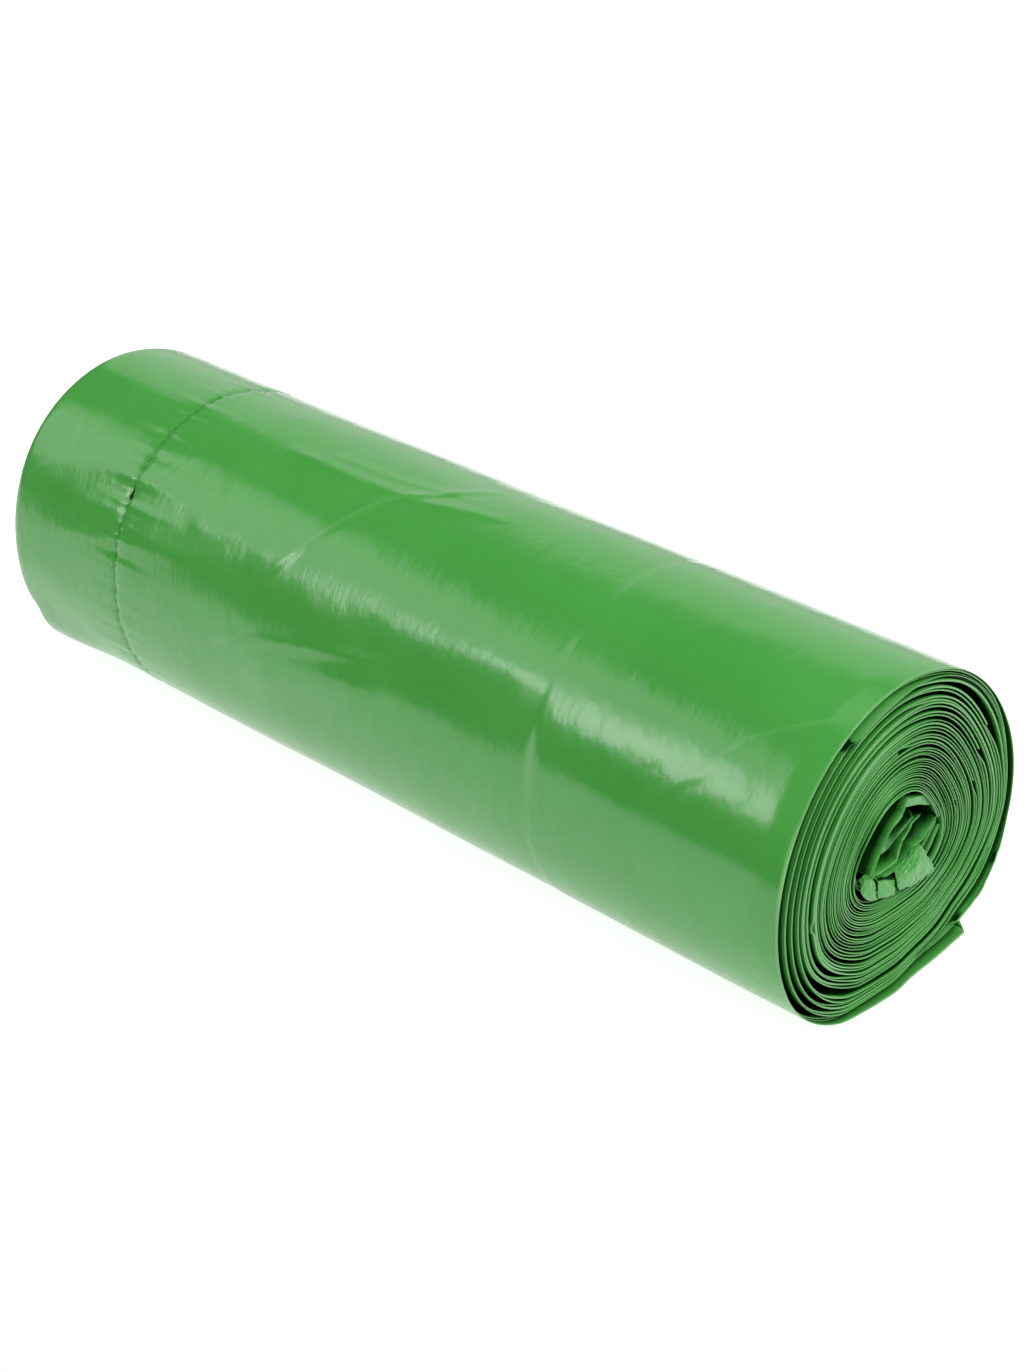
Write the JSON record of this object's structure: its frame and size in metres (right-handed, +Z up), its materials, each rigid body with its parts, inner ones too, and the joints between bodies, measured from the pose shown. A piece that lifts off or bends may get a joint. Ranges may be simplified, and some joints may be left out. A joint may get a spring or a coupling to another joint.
{
  "type": "bin bag roll",
  "caption": "Roll of green polythene bin bags: one folded film web wound on itself with no core, lying on a small flat spot.",
  "frame": {"origin": "below the middle of the roll, on the surface that its flat spot rests on", "axes": "+X along the roll towards the end whose tail lies low on the +Y side, +Z up"},
  "size_m": [0.3042, 0.0942, 0.0909],
  "materials": {
    "film": "glossy polythene film"
  },
  "bodies": {
    "root": {"bag_roll": "film"}
  },
  "joints": []
}
